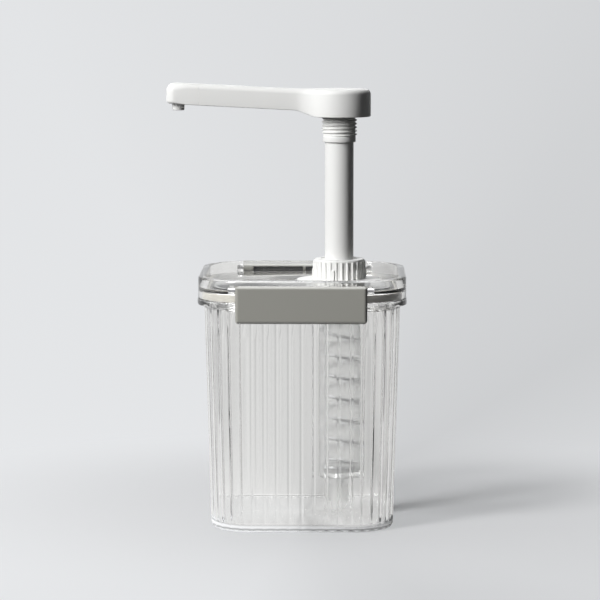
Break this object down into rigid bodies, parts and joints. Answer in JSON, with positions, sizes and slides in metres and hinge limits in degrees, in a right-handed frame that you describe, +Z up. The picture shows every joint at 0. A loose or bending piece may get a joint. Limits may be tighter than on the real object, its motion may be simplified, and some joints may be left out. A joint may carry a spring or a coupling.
{
  "type": "syrup pump dispenser",
  "caption": "Clear fluted storage tank with a latched, gasketed lid and a long-spout hand pump through the lid that doses syrup with each stroke.",
  "frame": {"origin": "middle of the tank's flat underside, on the surface that it stands on", "axes": "+Z up along the pump's axis, +X from the tank's middle towards the pump, -Y towards the front latch"},
  "size_m": [0.1419, 0.136, 0.26],
  "materials": {
    "clear_plastic": "clear moulded plastic, glossy",
    "white_plastic": "white moulded plastic, satin",
    "milky_plastic": "translucent white moulded plastic",
    "grey_plastic": "warm grey moulded plastic, satin",
    "cream_silicone": "cream silicone",
    "grey_rubber": "grey seal rubber",
    "steel": "bright stainless steel"
  },
  "bodies": {
    "root": {"tank": "clear_plastic", "lid": "clear_plastic", "lid_gasket": "cream_silicone", "front_latch_pins": "steel", "rear_latch_pins": "steel", "pump_flange": "white_plastic", "lock_nut": "white_plastic", "nut_gasket": "cream_silicone", "collar": "white_plastic", "housing": "milky_plastic", "lip_gasket": "cream_silicone", "dip_tube": "milky_plastic", "inlet_cage": "white_plastic", "stem_guide": "white_plastic", "wiper_ring": "grey_rubber", "spring": "steel"},
    "front_latch": {"front_latch": "grey_plastic"},
    "rear_latch": {"rear_latch": "grey_plastic"},
    "plunger": {"piston": "white_plastic", "piston_seal": "grey_rubber"},
    "spout": {"stem": "white_plastic", "head": "white_plastic", "spout_tip": "white_plastic", "outlet_nozzle": "white_plastic", "outlet_stop": "white_plastic"},
    "inlet_ball": {"inlet_ball": "steel"},
    "outlet_ball": {"outlet_ball": "steel"}
  },
  "joints": [
    {"name": "plunger_slide", "type": "slide", "parent": "root", "child": "plunger", "axis": [0, 0, 1], "range_m": [-0.068, 0], "stiffness_N_per_m": 150, "springref_m": 0.03, "deforming": ["spring"]},
    {"name": "spout_swivel", "type": "hinge", "parent": "plunger", "child": "spout", "pos_m": [0.0216, 0, 0.19], "axis": [0, 0, 1], "continuous": true},
    {"name": "front_latch_swing", "type": "hinge", "parent": "root", "child": "front_latch", "pos_m": [0, -0.0638, 0.1435], "axis": [-1, 0, 0], "range_deg": [0, 88]},
    {"name": "rear_latch_swing", "type": "hinge", "parent": "root", "child": "rear_latch", "pos_m": [0, 0.0638, 0.1435], "axis": [1, 0, 0], "range_deg": [0, 88]},
    {"name": "inlet_ball_lift", "type": "slide", "parent": "root", "child": "inlet_ball", "axis": [0, 0, 1], "range_m": [0, 0.0025]},
    {"name": "outlet_ball_lift", "type": "slide", "parent": "plunger", "child": "outlet_ball", "axis": [0, 0, 1], "range_m": [0, 0.003]}
  ]
}
